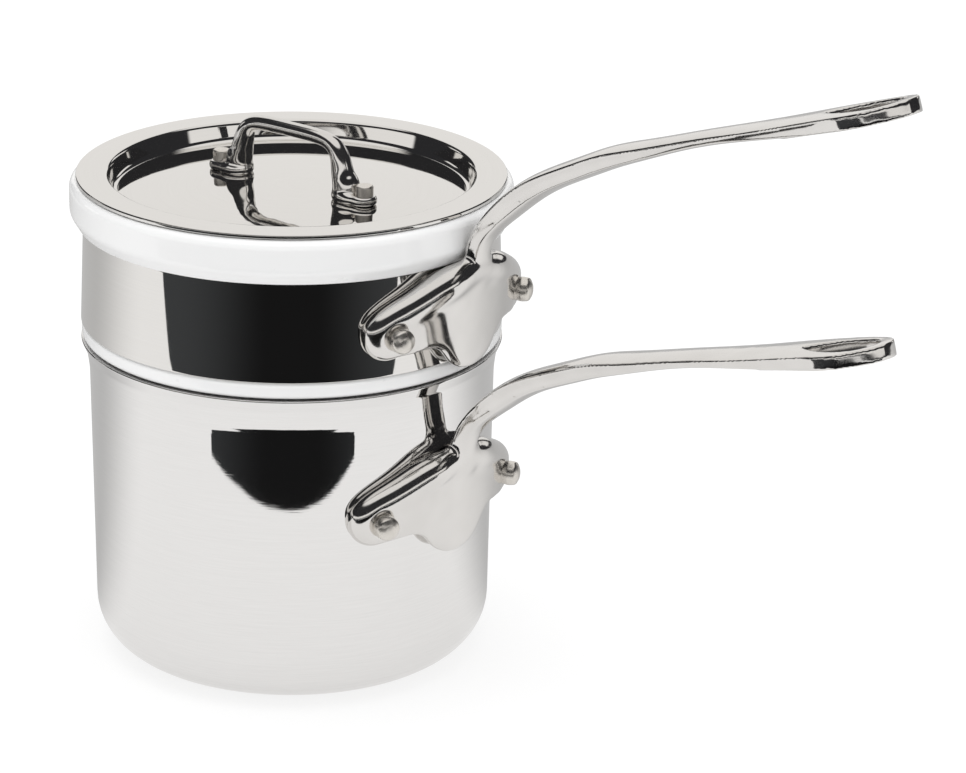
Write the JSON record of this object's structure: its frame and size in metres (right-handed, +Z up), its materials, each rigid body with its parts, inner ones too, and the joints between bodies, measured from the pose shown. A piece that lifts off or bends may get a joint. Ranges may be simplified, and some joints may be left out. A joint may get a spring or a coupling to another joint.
{
  "type": "double boiler",
  "caption": "Small double boiler: steel saucepan, porcelain insert with a steel collar that hangs in it, and a lid; long cast stick handles held by rivets.",
  "frame": {"origin": "centre of the flat base of the pan, on the surface it stands on", "axes": "+Z up along the pan's axis, +X along the pan's handle, +Y to the left of the handle seen from the pan"},
  "size_m": [0.2733, 0.1298, 0.2051],
  "materials": {
    "satin_steel": "fine satin polish",
    "mirror_steel": "mirror polish",
    "cast_steel": "polished casting",
    "rivet_steel": "satin",
    "white_porcelain": "glossy glaze, opaque"
  },
  "bodies": {
    "pan": {"pot_body": "satin_steel", "pot_handle": "cast_steel", "pot_handle_rivet_left": "rivet_steel", "pot_handle_rivet_right": "rivet_steel"},
    "upper_vessel": {"porcelain_insert": "white_porcelain", "collar": "mirror_steel", "collar_handle": "cast_steel", "collar_handle_rivet_left": "rivet_steel", "collar_handle_rivet_right": "rivet_steel"},
    "cover": {"lid": "mirror_steel", "lid_handle": "cast_steel", "lid_handle_rivet_left": "rivet_steel", "lid_handle_rivet_right": "rivet_steel"}
  },
  "joints": [
    {"name": "vessel_lift", "type": "slide", "parent": "pan", "child": "upper_vessel", "axis": [0, 0, 1], "range_m": [0, 0.118]},
    {"name": "lid_lift", "type": "slide", "parent": "upper_vessel", "child": "cover", "axis": [0, 0, 1], "range_m": [0, 0.07]}
  ]
}
